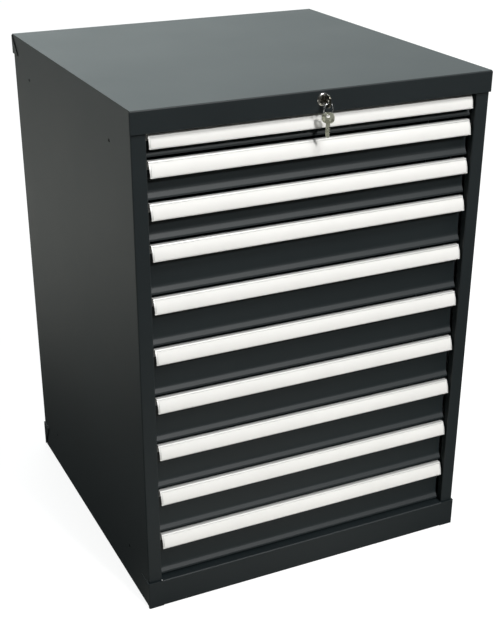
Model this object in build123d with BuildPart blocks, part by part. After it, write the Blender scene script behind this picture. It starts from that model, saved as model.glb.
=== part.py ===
from build123d import *
import os
from math import cos, pi, radians, sin, sqrt

# Drawer tool cabinet: a folded steel housing with ten drawers on telescopic slides,
# full-width extruded handles and a central lock that works a bar behind the drawers.
# Millimetres. X runs to the right, the fronts face -Y, Z is up and the floor is Z = 0.

# Driving dimensions of the housing
cabinet_width = 715.0       # over the corner tabs of cover and plinth
cabinet_depth = 720.0       # over the front and rear flanges of cover and plinth
cover_height = 40.0
plinth_height = 60.0
shallow_drawer_height = 50.0
low_drawer_height = 75.0
tall_drawer_height = 100.0
drawer_front_heights = [shallow_drawer_height] + [low_drawer_height] * 2 + [tall_drawer_height] * 7  # top down
housing_sheet = 1.5
bend_radius = 2.5           # outside of a folded edge
side_inset = 2.0            # side panel inside the corner tabs
front_inset = 4.0           # column face behind the cover's front
rear_inset = 4.0
column_width = 28.0         # front return of a side panel
column_return = 15.0        # its second fold, towards the back
rear_return = 25.0
side_flange = 20.0          # inward flange at the top and bottom of a side panel
tab_length = 40.0           # mitred corner tabs of cover and plinth
tab_tip = 4.0               # narrow end of a tab
fascia_return = 14.0
plinth_top_flange = 24.0
plinth_bottom_flange = 40.0
floor_flange = 22.0
panel_seam = 0.5            # plain gap between a flange and the column beside it

# Holes in the housing
joining_hole_diameter = 6.5
joining_hole_spacing_y = 496.0
joining_hole_spacing_z = 844.0
joining_hole_centre_z = 502.0
anchor_hole_diameter = 11.0
anchor_hole_from_flange_end = 27.0
anchor_hole_inset = 22.0    # from the cover's front or rear plane

# Driving dimensions of the drawers
drawer_sheet = 1.2
front_recess = 22.0         # drawer front behind the cover's front
front_side_gap = 3.5        # drawer front to column
front_top_gap = 1.5         # drawer front below the top of its zone
front_edge_fold = 4.0       # folds behind the front's sides and top
lip_drop = 9.0              # height of the kicked-out lip
lip_kick = 6.0              # how far the lip stands forward
lip_above_zone = 7.5        # lip edge above the bottom of the zone
space_behind_drawers = 76.8   # from the trays to the back panel, for the lock bar
tray_floor_above_zone = 7.0
tray_wall_below_zone = 8.0
tray_hem = 6.0
divider_slot_width = 3.0
divider_slot_pitch = 102.0
divider_slot_count = 5
divider_slot_margin = 9.0   # solid wall above and below a slot

# Driving dimensions of the slides
slide_end_margin = 4.2      # rails and inner members end before the tray's rear wall
middle_member_shorter = 40.0
slide_depth = 19.2          # from the posts to the tray wall
slide_height = 40.0
slide_sheet = 1.5
slide_centre_above_zone = 25.0
slide_front_setback = 10.0  # outer member behind the drawer front
middle_member_height = 30.0
inner_member_height = 20.0
outer_flange_depth = 14.0
member_web_gap = 1.5
ball_track_width = 3.0
ball_clearance = 0.3
post_width = 40.0
rear_post_inset = 37.0      # middle of the rear posts before the ends of the rails
post_slot_width = 5.0
post_slot_height = 14.0

# Driving dimensions of the handles
handle_height = 27.6
handle_ledge = 8.4          # flat top of the handle, from the drawer front to the face
handle_projection = 17.6    # lower edge in front of the drawer front
handle_face_radius = 45.0
handle_wall = 1.8
handle_hem = 4.6            # lower edge turned back behind the face
handle_back_leg = 16.0
handle_end_gap = 1.8        # handle shorter than the drawer front at each end
label_top_margin = 6.0      # plain band of the face above the label
label_bottom_margin = 3.0
label_recess = 0.8
label_thickness = 0.6
label_end_margin = 2.0
label_fit = 0.1

# Driving dimensions of the lock
lock_centre_below_top = 17.0
bezel_diameter = 24.0
bezel_height = 3.0
barrel_diameter = 18.0
barrel_length = 24.0
barrel_hole_fit = 0.1
lock_nut_width = 24.0
lock_nut_thickness = 4.0
plug_diameter = 13.0
plug_fit = 0.05             # radial running clearance
plug_recess = 0.5
plug_tail = 3.0
keyway_clearance = 0.2
shaft_side = 8.0
journal_diameter = 10.0
journal_fit = 0.08
journal_length = 13.0
bracket_sheet = 2.0
bracket_height = 24.0
bracket_half_width = 38.0
bracket_foot = 12.0
bracket_stand_off = 27.8    # front of the bracket before the back panel
crank_radius = 10.0
crank_thickness = 4.0
crank_hub_radius = 8.0
crank_pin_diameter = 6.0
crank_start_angle = 45.0    # above the horizontal, drawers free
pin_slot_play = 0.6
lock_bar_width = 36.0
lock_bar_thickness = 3.0
lock_bar_gap = 5.0          # crank to bar
lock_bar_end_margin = 3.0
hook_width = 14.0
hook_thickness = 3.0
hook_nose = 16.0
hook_play = 2.0
catch_lip_height = 14.0
catch_lip_behind_tray = 16.0
catch_sheet = 2.0
catch_above_zone = 10.0
hook_clearance = 3.0        # nose over the catch when the drawers are free
guide_width = 50.0
guide_depth = 22.0
guide_height = 16.0
guide_fit = 0.3
guide_above_zone = 70.0
guided_drawers = [3, 6, 9]  # counted from 0 at the top

# Driving dimensions of the keys and their ring
key_thickness = 2.0
key_bow_width = 22.5
key_bow_length = 19.0
key_bow_corner = 8.0
key_hole_diameter = 8.0
key_hole_offset = 3.0       # beyond the middle of the bow
key_neck = 5.0
key_blade_length = 21.5
key_blade_width = 7.5
key_tooth_count = 4
key_tooth_depth = 1.8
ring_radius = 10.1          # middle of the wire
ring_wire_radial = 1.2
ring_wire_axial = 2.2
ring_turned = 10.0          # degrees about the vertical
spare_key_turned = -35.0
ring_drop_in_hole = 2.8
spare_drop_on_ring = 2.1

# Places worked out from the driving dimensions
drawer_count = len(drawer_front_heights)
cabinet_height = plinth_height + sum(drawer_front_heights) + cover_height
cover_front_y = -cabinet_depth / 2
cover_rear_y = cabinet_depth / 2
tab_outer_x = cabinet_width / 2
side_outer_x = tab_outer_x - side_inset
side_inner_x = side_outer_x - housing_sheet
column_y = cover_front_y + front_inset
housing_rear_y = cover_rear_y - rear_inset
column_inner_x = side_outer_x - column_width
housing_top_z = cabinet_height - housing_sheet
cover_bottom_z = cabinet_height - cover_height
back_inner_y = housing_rear_y - 2 * housing_sheet
flange_half_width = column_inner_x - panel_seam
post_face_x = flange_half_width
tray_outer_x = post_face_x - slide_depth
front_half_width = column_inner_x - front_side_gap
front_y = cover_front_y + front_recess
tray_front_y = front_y + drawer_sheet
tray_rear_y = back_inner_y - space_behind_drawers
slide_front_y = front_y + slide_front_setback
slide_length = tray_rear_y - slide_end_margin - slide_front_y
middle_member_length = slide_length - middle_member_shorter
front_post_centre_y = slide_front_y + post_width / 2
rear_post_centre_y = slide_front_y + slide_length - rear_post_inset
anchor_hole_x = flange_half_width - anchor_hole_from_flange_end
handle_half_length = front_half_width - handle_end_gap
lock_axis_z = cabinet_height - lock_centre_below_top


def zone_bottoms():
    """Height of the bottom of each drawer's zone, from the top drawer down."""
    bottoms = []
    level = cover_bottom_z
    for height in drawer_front_heights:
        level = level - height
        bottoms.append(level)
    return bottoms


drawer_zones = zone_bottoms()


def upright_plane(y):
    """Vertical plane at depth y that faces the front: X to the right, Z up."""
    return Plane(origin=(0, y, 0), x_dir=(1, 0, 0), z_dir=(0, -1, 0))


def side_plane(x):
    """Vertical plane at x: Y to the right, Z up."""
    return Plane(origin=(x, 0, 0), x_dir=(0, 1, 0), z_dir=(1, 0, 0))


def save(part, name):
    part.label = name
    export_step(part, f"parts/{name}.step")


def outermost_vertical_edges(part, count):
    """The upright edges that stand furthest out at the corners."""
    edges = part.edges().filter_by(Axis.Z)
    return edges.sort_by(lambda edge: -(abs(edge.center().X) + abs(edge.center().Y)))[:count]


def add_rectangle(x_low, x_high, y_low, y_high):
    """A rectangle in the open sketch, given by its two corners."""
    with Locations(((x_low + x_high) / 2, (y_low + y_high) / 2)):
        Rectangle(x_high - x_low, y_high - y_low)


# Housing

def make_top_cover():
    fold_z = cabinet_height - bend_radius
    with BuildPart() as cover:
        with BuildSketch(Plane.YZ):
            add_rectangle(cover_front_y, cover_rear_y, cover_bottom_z, cabinet_height)
            with Locations((0, cabinet_height - housing_sheet - cover_height / 2)):
                Rectangle(cabinet_depth - 2 * housing_sheet, cover_height, mode=Mode.SUBTRACT)
        extrude(amount=side_outer_x, both=True)
        top_folds = cover.edges().filter_by(Axis.X).group_by(Axis.Z)[-1]
        fillet(top_folds, radius=bend_radius)
        # The front and rear flanges run on past the side panels and end in mitred tabs.
        for end, inward in ((cover_front_y, 1), (cover_rear_y, -1)):
            flange_inner = end + inward * housing_sheet
            with BuildSketch(Plane.XY.offset(cover_bottom_z)):
                add_rectangle(-tab_outer_x, tab_outer_x, min(end, flange_inner), max(end, flange_inner))
            extrude(amount=fold_z - cover_bottom_z)
            for side in (-1, 1):
                with BuildSketch(side_plane(side * tab_outer_x)):
                    with BuildLine():
                        Polyline(
                            (end, fold_z),
                            (end, cover_bottom_z),
                            (end + inward * tab_length, cover_bottom_z),
                            (end + inward * tab_tip, fold_z),
                            close=True,
                        )
                    make_face()
                extrude(amount=-side * housing_sheet)
        fillet(outermost_vertical_edges(cover, 4), radius=min(bend_radius, side_inset))
        # The lower edge of the front flange is folded in between the columns.
        with BuildSketch(Plane.XY.offset(cover_bottom_z)):
            add_rectangle(-flange_half_width, flange_half_width, cover_front_y, cover_front_y + fascia_return)
        extrude(amount=housing_sheet)
        with BuildSketch(upright_plane(cover_front_y)):
            with Locations((0, lock_axis_z)):
                Circle(barrel_diameter / 2 + barrel_hole_fit)
        extrude(amount=-2 * housing_sheet, mode=Mode.SUBTRACT)
    save(cover.part, "top_cover")


def make_side_panel(name, side):
    with BuildPart() as panel:
        with BuildSketch(Plane.XY):
            with BuildLine():
                Polyline(
                    (side * column_inner_x, column_y + column_return),
                    (side * column_inner_x, column_y),
                    (side * side_outer_x, column_y),
                    (side * side_outer_x, housing_rear_y),
                    (side * (side_outer_x - rear_return), housing_rear_y),
                    (side * (side_outer_x - rear_return), housing_rear_y - housing_sheet),
                    (side * side_inner_x, housing_rear_y - housing_sheet),
                    (side * side_inner_x, column_y + housing_sheet),
                    (side * (column_inner_x + housing_sheet), column_y + housing_sheet),
                    (side * (column_inner_x + housing_sheet), column_y + column_return),
                    close=True,
                )
            make_face()
        extrude(amount=housing_top_z)
        front_edges = panel.edges().filter_by(Axis.Z).group_by(Axis.Y)[0]
        rear_edges = panel.edges().filter_by(Axis.Z).group_by(Axis.Y)[-1].sort_by(Axis.X)
        rear_edge = rear_edges[-1] if side > 0 else rear_edges[0]
        fillet(front_edges + [rear_edge], radius=bend_radius)
        for level in (0, housing_top_z - housing_sheet):
            with BuildSketch(Plane.XY.offset(level)):
                inner = side_inner_x - side_flange
                x_low = min(side * inner, side * side_inner_x)
                add_rectangle(x_low, x_low + side_flange, column_y + housing_sheet, back_inner_y)
            extrude(amount=housing_sheet)
        with BuildSketch(side_plane(side * side_outer_x)):
            with Locations((0, joining_hole_centre_z)):
                with GridLocations(joining_hole_spacing_y, joining_hole_spacing_z, 2, 2):
                    Circle(joining_hole_diameter / 2)
        extrude(amount=-side * 2 * housing_sheet, mode=Mode.SUBTRACT)
    save(panel.part, name)


def make_back_panel():
    with BuildPart() as panel:
        with BuildSketch(upright_plane(back_inner_y)):
            add_rectangle(-side_inner_x, side_inner_x, plinth_height, housing_top_z)
        extrude(amount=-housing_sheet)
    save(panel.part, "back_panel")


def make_floor_panel():
    floor_front = cover_front_y + plinth_top_flange
    floor_rear = cover_rear_y - plinth_top_flange
    with BuildPart() as floor:
        with BuildSketch(Plane.XZ):
            add_rectangle(-side_inner_x, side_inner_x, plinth_height - floor_flange, plinth_height)
            with Locations((0, plinth_height - housing_sheet - floor_flange / 2)):
                Rectangle(2 * (side_inner_x - housing_sheet), floor_flange, mode=Mode.SUBTRACT)
        extrude(amount=(floor_rear - floor_front) / 2, both=True)
    save(floor.part, "floor_panel")


def make_plinth(name, facing):
    """Folded plinth sheet: facing is -1 for the front one and 1 for the rear one."""
    face_y = facing * cabinet_depth / 2
    inward = -facing
    with BuildPart() as plinth:
        with BuildSketch(Plane.YZ):
            with BuildLine():
                Polyline(
                    (face_y, 0),
                    (face_y, plinth_height),
                    (face_y + inward * plinth_top_flange, plinth_height),
                    (face_y + inward * plinth_top_flange, plinth_height - housing_sheet),
                    (face_y + inward * housing_sheet, plinth_height - housing_sheet),
                    (face_y + inward * housing_sheet, housing_sheet),
                    (face_y + inward * plinth_bottom_flange, housing_sheet),
                    (face_y + inward * plinth_bottom_flange, 0),
                    close=True,
                )
            make_face()
        extrude(amount=flange_half_width, both=True)
        with BuildSketch(upright_plane(face_y)):
            add_rectangle(-tab_outer_x, tab_outer_x, 0, plinth_height)
        extrude(amount=facing * housing_sheet)
        for side in (-1, 1):
            with BuildSketch(side_plane(side * tab_outer_x)):
                with BuildLine():
                    Polyline(
                        (face_y, 0),
                        (face_y, plinth_height),
                        (face_y + inward * tab_length, plinth_height),
                        (face_y + inward * tab_tip, 0),
                        close=True,
                    )
                make_face()
            extrude(amount=-side * housing_sheet)
        fillet(outermost_vertical_edges(plinth, 2), radius=min(bend_radius, side_inset))
        with BuildSketch(Plane.XY):
            for side in (-1, 1):
                with Locations((side * anchor_hole_x, face_y + inward * anchor_hole_inset)):
                    Circle(anchor_hole_diameter / 2)
        extrude(amount=housing_sheet, mode=Mode.SUBTRACT)
    save(plinth.part, name)


def make_slotted_posts():
    """Four U-shaped posts between floor panel and side flanges, with a slot for each slide."""
    post_depth = side_inner_x - post_face_x
    with BuildPart() as posts:
        for centre_y in (front_post_centre_y, rear_post_centre_y):
            with BuildSketch(Plane.XY.offset(plinth_height)):
                with Locations((post_face_x + post_depth / 2, centre_y)):
                    Rectangle(post_depth, post_width)
                with Locations((post_face_x + housing_sheet + post_depth / 2, centre_y)):
                    Rectangle(post_depth, post_width - 2 * housing_sheet, mode=Mode.SUBTRACT)
            extrude(amount=housing_top_z - housing_sheet - plinth_height)
            with BuildSketch(side_plane(post_face_x)):
                for zone in drawer_zones:
                    with Locations((centre_y, zone + slide_centre_above_zone)):
                        Rectangle(post_slot_width, post_slot_height)
            extrude(amount=housing_sheet, mode=Mode.SUBTRACT)
        mirror(about=Plane.YZ)
    save(posts.part, "slotted_posts")


# Telescopic slides: outer member on the posts, middle member, inner member on the tray

def channel_section(side, web_x, open_x, half_height, sheet, centre_z):
    """C-shaped section of one slide member, from its web to its open side."""
    inward = 1 if open_x > web_x else -1
    Polygon(
        (side * web_x, centre_z - half_height),
        (side * web_x, centre_z + half_height),
        (side * open_x, centre_z + half_height),
        (side * open_x, centre_z + half_height - sheet),
        (side * (web_x + inward * sheet), centre_z + half_height - sheet),
        (side * (web_x + inward * sheet), centre_z - half_height + sheet),
        (side * open_x, centre_z - half_height + sheet),
        (side * open_x, centre_z - half_height),
        align=None,
    )


def make_rails(name, side):
    """The fixed outer members of one side, one for each drawer."""
    with BuildPart() as rails:
        with BuildSketch(upright_plane(slide_front_y)):
            for zone in drawer_zones:
                channel_section(
                    side,
                    post_face_x,
                    post_face_x - outer_flange_depth,
                    slide_height / 2,
                    slide_sheet,
                    zone + slide_centre_above_zone,
                )
        extrude(amount=-slide_length)
    save(rails.part, name)


def make_middle_members(name, zone):
    """The pair of middle members of one drawer, with their ball tracks."""
    centre_z = zone + slide_centre_above_zone
    web_x = post_face_x - slide_sheet - member_web_gap
    open_x = tray_outer_x + slide_sheet + member_web_gap
    half_height = middle_member_height / 2
    outer_track_height = slide_height / 2 - slide_sheet - half_height - ball_clearance
    inner_track_height = half_height - slide_sheet - inner_member_height / 2 - ball_clearance
    outer_track_x = post_face_x - outer_flange_depth / 2
    inner_track_x = (web_x + open_x) / 2 - ball_track_width
    with BuildPart() as members:
        with BuildSketch(upright_plane(slide_front_y)):
            channel_section(1, web_x, open_x, half_height, slide_sheet, centre_z)
            for up in (-1, 1):
                with Locations((outer_track_x, centre_z + up * (half_height + outer_track_height / 2))):
                    Rectangle(ball_track_width, outer_track_height)
                track_z = half_height - slide_sheet - inner_track_height / 2
                with Locations((inner_track_x, centre_z + up * track_z)):
                    Rectangle(ball_track_width, inner_track_height)
        extrude(amount=-middle_member_length)
        mirror(about=Plane.YZ)
    save(members.part, name)


# Drawers

def front_section(zone, front_top):
    """Section of the folded drawer front: top fold, plain face and kicked-out lip."""
    lip_start = zone + lip_above_zone + lip_drop
    lip_end = zone + lip_above_zone
    lip_length = sqrt(lip_drop**2 + lip_kick**2)
    back_y = drawer_sheet * lip_drop / lip_length
    back_z = drawer_sheet * lip_kick / lip_length
    inner_start = lip_end - back_z + (lip_kick + drawer_sheet - back_y) * lip_drop / lip_kick
    Polygon(
        (front_y, front_top),
        (front_y, lip_start),
        (front_y - lip_kick, lip_end),
        (front_y - lip_kick + back_y, lip_end - back_z),
        (front_y + drawer_sheet, inner_start),
        (front_y + drawer_sheet, front_top - drawer_sheet),
        (front_y + front_edge_fold, front_top - drawer_sheet),
        (front_y + front_edge_fold, front_top),
        align=None,
    )


def make_tray(name, zone, front_height):
    floor_z = zone + tray_floor_above_zone
    wall_top = zone + front_height - tray_wall_below_zone
    front_top = zone + front_height - front_top_gap
    lip_start = zone + lip_above_zone + lip_drop
    centre_z = zone + slide_centre_above_zone
    with BuildPart() as tray:
        # Open steel tray
        with BuildSketch(Plane.XY.offset(floor_z)):
            add_rectangle(-tray_outer_x, tray_outer_x, tray_front_y, tray_rear_y)
        extrude(amount=wall_top - floor_z)
        offset(amount=-drawer_sheet, openings=tray.faces().sort_by(Axis.Z)[-1])
        # Slots for dividers in both side walls
        slot_height = wall_top - floor_z - 2 * divider_slot_margin
        with BuildSketch(side_plane(tray_outer_x)):
            with Locations(((tray_front_y + tray_rear_y) / 2, (floor_z + wall_top) / 2)):
                with GridLocations(divider_slot_pitch, 1, divider_slot_count, 1):
                    Rectangle(divider_slot_width, slot_height)
        extrude(amount=-2 * tray_outer_x, mode=Mode.SUBTRACT)
        # Hems folded inwards along the top of the side walls
        with BuildSketch(Plane.XY.offset(wall_top - drawer_sheet)):
            for side in (-1, 1):
                x_low = min(side * tray_outer_x, side * (tray_outer_x - tray_hem))
                add_rectangle(x_low, x_low + tray_hem, tray_front_y, tray_rear_y)
        extrude(amount=drawer_sheet)
        # Folded front with its kicked-out lip
        with BuildSketch(Plane.YZ):
            front_section(zone, front_top)
        extrude(amount=front_half_width, both=True)
        for side in (-1, 1):
            with BuildSketch(upright_plane(front_y)):
                x_low = min(side * front_half_width, side * (front_half_width - drawer_sheet))
                add_rectangle(x_low, x_low + drawer_sheet, lip_start, front_top)
            extrude(amount=-front_edge_fold)
        # Inner slide members on the side walls
        with BuildSketch(upright_plane(slide_front_y)):
            for side in (-1, 1):
                channel_section(
                    side,
                    tray_outer_x,
                    post_face_x - slide_sheet - member_web_gap - slide_sheet - member_web_gap,
                    inner_member_height / 2,
                    slide_sheet,
                    centre_z,
                )
        extrude(amount=-slide_length)
        # Catch for the lock bar behind the rear wall
        with BuildSketch(side_plane(hook_centre_x - hook_width / 2)):
            lip_y = tray_rear_y + catch_lip_behind_tray
            shelf_z = zone + catch_above_zone
            with BuildLine():
                Polyline(
                    (tray_rear_y, shelf_z),
                    (lip_y + catch_sheet, shelf_z),
                    (lip_y + catch_sheet, shelf_z + catch_sheet + catch_lip_height),
                    (lip_y, shelf_z + catch_sheet + catch_lip_height),
                    (lip_y, shelf_z + catch_sheet),
                    (tray_rear_y, shelf_z + catch_sheet),
                    close=True,
                )
            make_face()
        extrude(amount=hook_width)
    save(tray.part, name)


# Handles

def arc_centre(start, end, radius):
    """Centre of the arc from start to end that bulges away from it, behind the face."""
    middle = ((start[0] + end[0]) / 2, (start[1] + end[1]) / 2)
    chord_y = end[0] - start[0]
    chord_z = end[1] - start[1]
    chord = sqrt(chord_y**2 + chord_z**2)
    reach = sqrt(radius**2 - (chord / 2) ** 2)
    return (middle[0] - chord_z / chord * reach, middle[1] + chord_y / chord * reach)


def face_centre(top_z):
    face_top = (front_y - handle_ledge, top_z)
    face_bottom = (front_y - handle_projection, top_z - handle_height)
    return arc_centre(face_top, face_bottom, handle_face_radius)


def face_band(centre, outer_radius, inner_radius, z_low, z_high):
    """Part of the curved face between two radii and two heights."""
    with Locations(centre):
        Circle(outer_radius)
        Circle(inner_radius, mode=Mode.SUBTRACT)
    with Locations((centre[0] - outer_radius, (z_low + z_high) / 2)):
        Rectangle(2 * outer_radius, z_high - z_low, mode=Mode.INTERSECT)


def make_handle(name, top_z):
    centre = face_centre(top_z)
    bottom_z = top_z - handle_height
    inner_radius = handle_face_radius - handle_wall
    hem_y = front_y - handle_projection + handle_hem
    with BuildPart() as handle:
        with BuildSketch(Plane.YZ):
            face_band(centre, handle_face_radius, inner_radius, bottom_z, top_z)
            add_rectangle(front_y - handle_ledge - handle_wall, front_y, top_z - handle_wall, top_z)
            add_rectangle(front_y - handle_wall, front_y, top_z - handle_back_leg, top_z)
            add_rectangle(hem_y - handle_hem, hem_y, bottom_z, bottom_z + handle_wall)
            # Trim whatever lies outside the curved face.
            with Locations(centre):
                Circle(handle_face_radius, mode=Mode.INTERSECT)
        extrude(amount=handle_half_length, both=True)
        with BuildSketch(Plane.YZ):
            face_band(
                centre,
                handle_face_radius + label_recess,
                handle_face_radius - label_recess,
                bottom_z + label_bottom_margin,
                top_z - label_top_margin,
            )
        extrude(amount=handle_half_length - label_end_margin, both=True, mode=Mode.SUBTRACT)
    save(handle.part, name)


def make_label_strip(name, top_z):
    centre = face_centre(top_z)
    outer_radius = handle_face_radius - label_recess + label_fit + label_thickness
    with BuildPart() as label:
        with BuildSketch(Plane.YZ):
            face_band(
                centre,
                outer_radius,
                outer_radius - label_thickness,
                top_z - handle_height + label_bottom_margin + label_fit,
                top_z - label_top_margin - label_fit,
            )
        extrude(amount=handle_half_length - label_end_margin - label_fit, both=True)
    save(label.part, name)


# Central lock

barrel_end_y = cover_front_y + barrel_length
plug_front_y = cover_front_y - bezel_height + plug_recess
plug_end_y = barrel_end_y + plug_tail
bracket_front_y = back_inner_y - bracket_stand_off
shaft_end_y = bracket_front_y + bracket_sheet + 3 * journal_fit
crank_pin_x = crank_radius * cos(radians(crank_start_angle))
crank_pin_z = lock_axis_z + crank_radius * sin(radians(crank_start_angle))
hook_centre_x = (crank_pin_x + crank_radius) / 2
lock_bar_y = shaft_end_y + crank_thickness + lock_bar_gap
lock_bar_travel = 2 * crank_radius * sin(radians(crank_start_angle))


def make_lock_housing():
    """Chromed barrel with a bevelled bezel, held by a nut behind the cover's front."""
    with BuildPart() as housing:
        with BuildSketch(upright_plane(cover_front_y)):
            with Locations((0, lock_axis_z)):
                Circle(bezel_diameter / 2)
        extrude(amount=bezel_height)
        chamfer(housing.edges().group_by(Axis.Y)[0], length=bezel_height / 2)
        with BuildSketch(upright_plane(cover_front_y)):
            with Locations((0, lock_axis_z)):
                Circle(barrel_diameter / 2)
        extrude(amount=-barrel_length)
        with BuildSketch(upright_plane(cover_front_y - bezel_height)):
            with Locations((0, lock_axis_z)):
                Circle(plug_diameter / 2 + plug_fit)
        extrude(amount=-(bezel_height + barrel_length), mode=Mode.SUBTRACT)
        with BuildSketch(upright_plane(cover_front_y + housing_sheet)):
            with Locations((0, lock_axis_z)):
                RegularPolygon(lock_nut_width / 2, 6, major_radius=False)
                Circle(barrel_diameter / 2, mode=Mode.SUBTRACT)
        extrude(amount=-lock_nut_thickness)
    save(housing.part, "lock_housing")


def make_lock_plug():
    keyway_depth = key_blade_length + key_neck
    with BuildPart() as plug:
        with BuildSketch(upright_plane(plug_front_y)):
            with Locations((0, lock_axis_z)):
                Circle(plug_diameter / 2)
        extrude(amount=-(plug_end_y - plug_front_y))
        with BuildSketch(upright_plane(plug_front_y)):
            with Locations((0, lock_axis_z)):
                Rectangle(key_thickness + 2 * keyway_clearance, key_blade_width + 2 * keyway_clearance)
        extrude(amount=-keyway_depth, mode=Mode.SUBTRACT)
    save(plug.part, "lock_plug")


def make_lock_shaft():
    """Square shaft from the plug to the rear, with a round journal at its end."""
    with BuildPart() as shaft:
        with BuildSketch(upright_plane(plug_end_y)):
            with Locations((0, lock_axis_z)):
                Rectangle(shaft_side, shaft_side)
        extrude(amount=-(shaft_end_y - journal_length - plug_end_y))
        with BuildSketch(upright_plane(shaft_end_y)):
            with Locations((0, lock_axis_z)):
                Circle(journal_diameter / 2)
        extrude(amount=journal_length)
    save(shaft.part, "lock_shaft")


def make_shaft_bracket():
    """Hat-shaped bracket on the back panel that carries the end of the lock shaft."""
    inner_half = bracket_half_width - bracket_sheet
    outer_half = bracket_half_width + bracket_foot
    crown_back = bracket_front_y + bracket_sheet
    foot_front = back_inner_y - bracket_sheet
    with BuildPart() as bracket:
        with BuildSketch(Plane.XY.offset(lock_axis_z - bracket_height / 2)):
            with BuildLine():
                Polyline(
                    (-outer_half, back_inner_y),
                    (-outer_half, foot_front),
                    (-bracket_half_width, foot_front),
                    (-bracket_half_width, bracket_front_y),
                    (bracket_half_width, bracket_front_y),
                    (bracket_half_width, foot_front),
                    (outer_half, foot_front),
                    (outer_half, back_inner_y),
                    (inner_half, back_inner_y),
                    (inner_half, crown_back),
                    (-inner_half, crown_back),
                    (-inner_half, back_inner_y),
                    close=True,
                )
            make_face()
        extrude(amount=bracket_height)
        with BuildSketch(upright_plane(bracket_front_y)):
            with Locations((0, lock_axis_z)):
                Circle(journal_diameter / 2 + journal_fit)
        extrude(amount=-bracket_sheet, mode=Mode.SUBTRACT)
    save(bracket.part, "lock_shaft_bracket")


def make_lock_crank():
    """Crank plate on the end of the shaft; its pin lifts and lowers the lock bar."""
    with BuildPart() as crank:
        with BuildSketch(upright_plane(shaft_end_y)):
            with Locations((0, lock_axis_z)):
                Circle(crank_hub_radius)
            with Locations((crank_pin_x, crank_pin_z)):
                Circle(crank_pin_diameter * 0.75)
            make_hull()
        extrude(amount=-crank_thickness)
        with BuildSketch(upright_plane(shaft_end_y + crank_thickness)):
            with Locations((crank_pin_x, crank_pin_z)):
                Circle(crank_pin_diameter / 2)
        extrude(amount=-(lock_bar_gap + lock_bar_thickness + pin_slot_play))
    save(crank.part, "lock_crank")


def make_lock_bar():
    """Flat bar with one hook for each drawer and a slot for the crank pin."""
    bar_left = hook_centre_x - lock_bar_width / 2
    bar_right = hook_centre_x + lock_bar_width / 2
    slot_height = crank_pin_diameter + 2 * pin_slot_play
    slot_length = slot_height + crank_radius - crank_pin_x + pin_slot_play
    bar_top = crank_pin_z + slot_height / 2 + lock_bar_end_margin
    nose_back_y = tray_rear_y + catch_lip_behind_tray - hook_play
    nose_front_y = nose_back_y - hook_thickness
    bar_bottom = drawer_zones[-1] + lock_bar_travel + lock_bar_end_margin
    with BuildPart() as bar:
        with BuildSketch(upright_plane(lock_bar_y)):
            add_rectangle(bar_left, bar_right, bar_bottom, bar_top)
            with Locations((hook_centre_x, crank_pin_z)):
                SlotOverall(slot_length, slot_height, mode=Mode.SUBTRACT)
        extrude(amount=-lock_bar_thickness)
        with BuildSketch(side_plane(hook_centre_x)):
            for zone in drawer_zones:
                nose_z = zone + catch_above_zone + catch_sheet + catch_lip_height + hook_clearance
                arm_z = nose_z + hook_nose
                with BuildLine():
                    Polyline(
                        (nose_front_y, nose_z),
                        (nose_back_y, nose_z),
                        (nose_back_y, arm_z),
                        (lock_bar_y, arm_z),
                        (lock_bar_y, arm_z + hook_thickness),
                        (nose_front_y, arm_z + hook_thickness),
                        close=True,
                    )
                make_face()
        extrude(amount=(hook_width - 2 * hook_play) / 2, both=True)
    save(bar.part, "lock_bar")


def make_lock_bar_guides():
    """Plastic guide blocks on the back panel, each with a slot around the bar."""
    with BuildPart() as guides:
        for drawer in guided_drawers:
            level = drawer_zones[drawer] + guide_above_zone
            with BuildSketch(Plane.XY.offset(level)):
                with Locations((hook_centre_x, back_inner_y - guide_depth / 2)):
                    Rectangle(guide_width, guide_depth)
                with Locations((hook_centre_x, lock_bar_y + lock_bar_thickness / 2)):
                    Rectangle(
                        lock_bar_width + 2 * guide_fit,
                        lock_bar_thickness + 2 * guide_fit,
                        mode=Mode.SUBTRACT,
                    )
            extrude(amount=guide_height)
    save(guides.part, "lock_bar_guides")


# Keys and ring

def key_outline():
    """Key lying along the local X axis: blade tip at the far end, hole centre at 0, 0."""
    bow_centre = key_hole_offset
    neck_start = bow_centre + key_bow_length / 2 - 1
    blade_end = bow_centre + key_bow_length / 2 + key_neck + key_blade_length
    half_width = key_blade_width / 2
    blade_start = blade_end - key_blade_length
    tooth_pitch = (key_blade_length - half_width) / key_tooth_count
    with Locations((bow_centre, 0)):
        RectangleRounded(key_bow_length, key_bow_width, key_bow_corner)
    points = [(neck_start, half_width), (blade_end - half_width, half_width), (blade_end, 0)]
    for tooth in range(key_tooth_count, 0, -1):
        tooth_x = blade_start + tooth * tooth_pitch
        points.append((tooth_x, -half_width))
        points.append((tooth_x - tooth_pitch / 2, -half_width + key_tooth_depth))
    points.append((blade_start, -half_width))
    points.append((neck_start, -half_width))
    Polygon(*points, align=None)
    Circle(key_hole_diameter / 2, mode=Mode.SUBTRACT)


key_blade_tip_y = plug_front_y + key_blade_length
key_hole_y = key_blade_tip_y - key_blade_length - key_neck - key_bow_length / 2 - key_hole_offset
ring_top_z = lock_axis_z - ring_drop_in_hole
ring_centre_z = ring_top_z - ring_radius
ring_bottom_z = ring_centre_z - ring_radius
spare_hole_z = ring_bottom_z - spare_drop_on_ring


def make_key():
    """The key in the lock, its bow upright."""
    with BuildPart() as key:
        with BuildSketch(Plane(origin=(0, key_hole_y, lock_axis_z), x_dir=(0, 1, 0), z_dir=(1, 0, 0))):
            key_outline()
        extrude(amount=key_thickness / 2, both=True)
    save(key.part, "key")


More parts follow.
